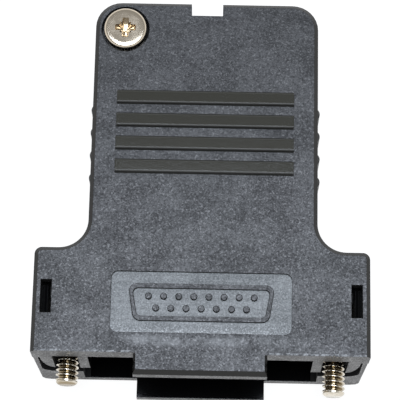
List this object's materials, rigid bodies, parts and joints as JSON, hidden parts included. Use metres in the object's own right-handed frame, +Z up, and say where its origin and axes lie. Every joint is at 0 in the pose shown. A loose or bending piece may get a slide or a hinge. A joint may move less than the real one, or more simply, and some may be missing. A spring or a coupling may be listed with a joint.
{
  "type": "d-sub hood",
  "caption": "Two-part plastic hood for a D-sub cable connector, with captive jackscrews, a cable clamp, snap hooks and a housing screw.",
  "frame": {"origin": "centre of the connector seat plane, midway between the jackscrew axes and on their height", "axes": "+X to the right seen from above with the cable end away, +Y towards the cable, +Z up through the cover"},
  "size_m": [0.0414, 0.0492, 0.0172],
  "materials": {
    "cover_plastic": "spark-eroded black plastic",
    "base_plastic": "spark-eroded black plastic",
    "nickel": "nickel-plated steel",
    "spring_steel": "phosphated spring steel",
    "zinc": "die-cast zinc"
  },
  "bodies": {
    "hood": {"cover_shell": "cover_plastic", "base_shell": "base_plastic", "housing_screw": "nickel", "housing_nut": "nickel", "clamp_saddle_upper": "zinc", "clamp_saddle_lower": "zinc", "left_clamp_screw": "nickel", "right_clamp_screw": "nickel", "left_clamp_nut": "nickel", "right_clamp_nut": "nickel"},
    "left_ring": {"left_retaining_ring": "spring_steel"},
    "right_ring": {"right_retaining_ring": "spring_steel"},
    "left_screw": {"left_jackscrew": "nickel"},
    "right_screw": {"right_jackscrew": "nickel"}
  },
  "joints": [
    {"name": "left_float", "type": "slide", "parent": "hood", "child": "left_ring", "axis": [0, 1, 0], "range_m": [-0.0029, 0.002]},
    {"name": "left_turn", "type": "hinge", "parent": "left_ring", "child": "left_screw", "pos_m": [-0.01666, 0.005, 0], "axis": [0, 1, 0], "continuous": true},
    {"name": "right_float", "type": "slide", "parent": "hood", "child": "right_ring", "axis": [0, 1, 0], "range_m": [-0.0021, 0.0028]},
    {"name": "right_turn", "type": "hinge", "parent": "right_ring", "child": "right_screw", "pos_m": [0.01666, 0.005, 0], "axis": [0, 1, 0], "continuous": true}
  ]
}
